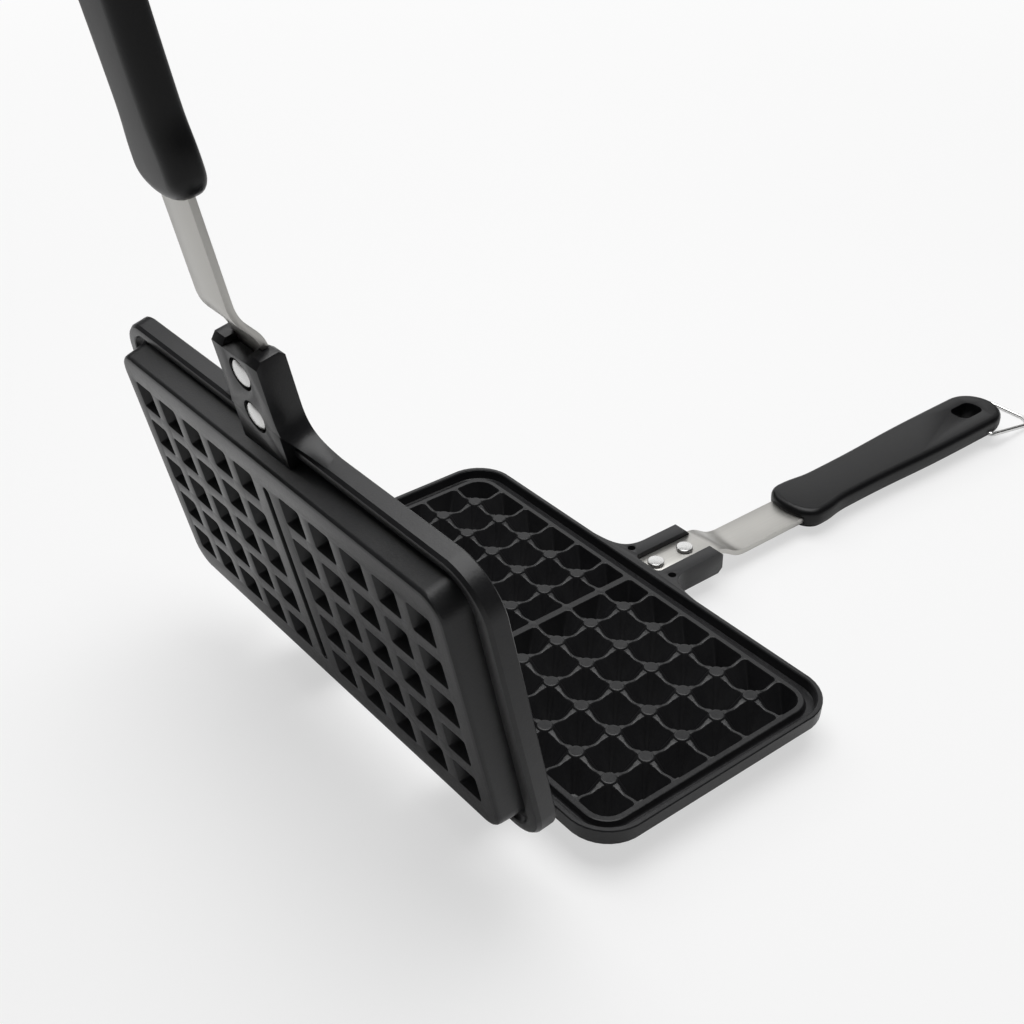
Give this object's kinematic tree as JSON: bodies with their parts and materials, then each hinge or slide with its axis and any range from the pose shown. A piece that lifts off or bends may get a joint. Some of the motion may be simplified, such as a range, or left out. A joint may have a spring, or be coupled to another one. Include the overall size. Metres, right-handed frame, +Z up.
{
  "type": "stovetop waffle iron",
  "caption": "Hinged double-sided waffle iron for the stove top: two rectangular grid castings, a riveted strap and moulded grip on each, and a wire clasp.",
  "frame": {"origin": "on the underside of the lower plate, on the centre line of its border strip on the handle side; the surface it stands on is z = 0", "axes": "+Z up, +Y from the hinge towards the lower handle, +X along the hinge"},
  "size_m": [0.2104, 0.4617, 0.3645],
  "materials": {
    "coated_casting": "cast aluminium with a satin black non-stick coating, fine cast texture",
    "steel_strap": "rolled stainless steel strip, satin",
    "bright_steel": "smooth bright steel",
    "grip_plastic": "black moulded thermoset, satin"
  },
  "bodies": {
    "lower": {"lower_plate": "coated_casting", "lower_strap": "steel_strap", "lower_strap_rivet_inner": "bright_steel", "lower_strap_rivet_outer": "bright_steel", "lower_grip": "grip_plastic", "hinge_pin_left": "bright_steel", "hinge_pin_right": "bright_steel"},
    "upper": {"upper_plate": "coated_casting", "upper_strap": "steel_strap", "upper_strap_rivet_inner": "bright_steel", "upper_strap_rivet_outer": "bright_steel", "upper_grip": "grip_plastic"},
    "clasp": {"wire_clasp": "bright_steel"}
  },
  "joints": [
    {"name": "lid_hinge", "type": "hinge", "parent": "lower", "child": "upper", "pos_m": [0, -0.1146, 0.015], "axis": [1, 0, 0], "range_deg": [-101.95, 0]},
    {"name": "clasp_pivot", "type": "hinge", "parent": "lower", "child": "clasp", "pos_m": [0, 0.2241, 0.0046], "axis": [1, 0, 0], "range_deg": [-157, 139]}
  ]
}
